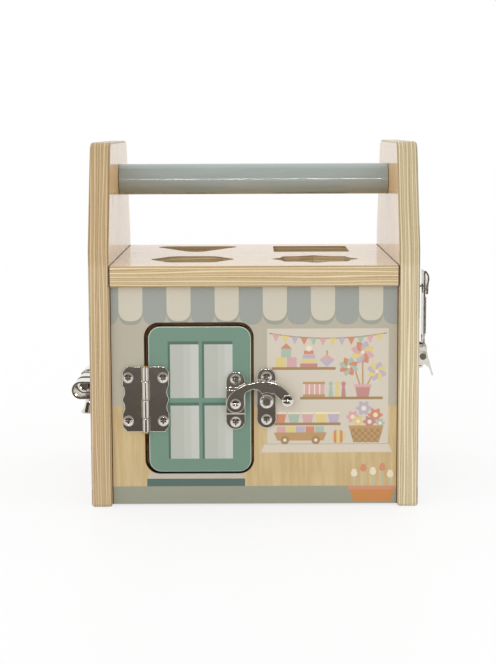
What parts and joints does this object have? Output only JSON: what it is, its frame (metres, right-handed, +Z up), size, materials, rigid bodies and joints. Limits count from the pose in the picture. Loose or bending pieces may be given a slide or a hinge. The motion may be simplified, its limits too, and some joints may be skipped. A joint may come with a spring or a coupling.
{
  "type": "carrying activity cube",
  "caption": "House-shaped plywood activity cube with a carrying handle, shape holes in its top and hinged doors that close with a swing hook, a sliding bolt and a lever latch.",
  "frame": {"origin": "on the floor under the middle of the wooden box", "axes": "+Z up, front face with the swing hook towards -Y, +X to the viewer's right"},
  "size_m": [0.2192, 0.1686, 0.211],
  "materials": {
    "side_ply": "clear varnished plywood, printed outside",
    "top_ply": "clear varnished plywood",
    "front_ply": "satin, printed",
    "back_ply": "clear varnished plywood",
    "front_door_ply": "satin, green print",
    "handle_paint": "satin grey-green paint",
    "dowel_wood": "plain",
    "nickel": "bright nickel plate"
  },
  "bodies": {
    "frame": {"side_board_left": "side_ply", "side_board_right": "side_ply", "top_board": "top_ply", "front_board": "front_ply", "back_board": "back_ply", "bottom_board": "back_ply", "carry_handle": "handle_paint", "top_dowels": "dowel_wood", "front_dowels": "dowel_wood", "back_dowels": "dowel_wood", "bottom_dowels": "dowel_wood", "front_hinge_frame_leaf": "nickel", "front_hinge_pin": "nickel", "front_hinge_frame_screws": "nickel", "left_hinge_frame_leaf": "nickel", "left_hinge_pin": "nickel", "left_hinge_frame_screws": "nickel", "right_hinge_frame_leaf": "nickel", "right_hinge_pin": "nickel", "right_hinge_frame_screws": "nickel", "catch_plate": "nickel", "catch_plate_screws": "nickel", "catch_button": "nickel", "keeper": "nickel", "keeper_screws": "nickel", "strike": "nickel", "strike_screws": "nickel"},
    "front_door": {"front_door": "front_door_ply", "front_hinge_door_leaf": "nickel", "front_hinge_door_screws": "nickel", "hook_plate": "nickel", "hook_plate_screws": "nickel", "hook_rivet": "nickel"},
    "hook": {"hook_arm": "nickel", "hook_knob": "nickel"},
    "left_door": {"left_door": "side_ply", "left_hinge_door_leaf": "nickel", "left_hinge_door_screws": "nickel", "bolt_base": "nickel", "bolt_base_screws": "nickel"},
    "bolt": {"bolt_rod": "nickel", "bolt_handle": "nickel"},
    "right_door": {"right_door": "side_ply", "right_hinge_door_leaf": "nickel", "right_hinge_door_screws": "nickel", "latch_base": "nickel", "latch_base_screws": "nickel", "latch_rivets": "nickel"},
    "lever": {"latch_lever": "nickel", "latch_link_pins": "nickel"},
    "draw_plate": {"draw_plate": "nickel"}
  },
  "joints": [
    {"name": "front_door_hinge", "type": "hinge", "parent": "frame", "child": "front_door", "pos_m": [-0.063, -0.0806, 0.0634], "axis": [0, 0, -1], "range_deg": [0, 165]},
    {"name": "hook_swing", "type": "hinge", "parent": "front_door", "child": "hook", "pos_m": [-0.0109, -0.0785, 0.0613], "axis": [0, -1, 0], "range_deg": [0, 110]},
    {"name": "left_door_hinge", "type": "hinge", "parent": "frame", "child": "left_door", "pos_m": [-0.0971, 0.03, 0.0634], "axis": [0, 0, -1], "range_deg": [0, 155]},
    {"name": "bolt_slide", "type": "slide", "parent": "left_door", "child": "bolt", "axis": [0, -1, 0], "range_m": [0, 0.01]},
    {"name": "right_door_hinge", "type": "hinge", "parent": "frame", "child": "right_door", "pos_m": [0.0971, -0.00725, 0.0206], "axis": [0, 1, 0], "range_deg": [0, 94]},
    {"name": "lever_turn", "type": "hinge", "parent": "right_door", "child": "lever", "pos_m": [0.1044, -0.00725, 0.0784], "axis": [0, -1, 0], "range_deg": [0, 150]},
    {"name": "draw_plate_turn", "type": "hinge", "parent": "lever", "child": "draw_plate", "pos_m": [0.1028, -0.00725, 0.0732], "axis": [0, -1, 0], "range_deg": [-150, 0]}
  ],
  "couplings": [
    {"joint": "draw_plate_turn", "follows": "lever_turn", "ratio": -1}
  ]
}
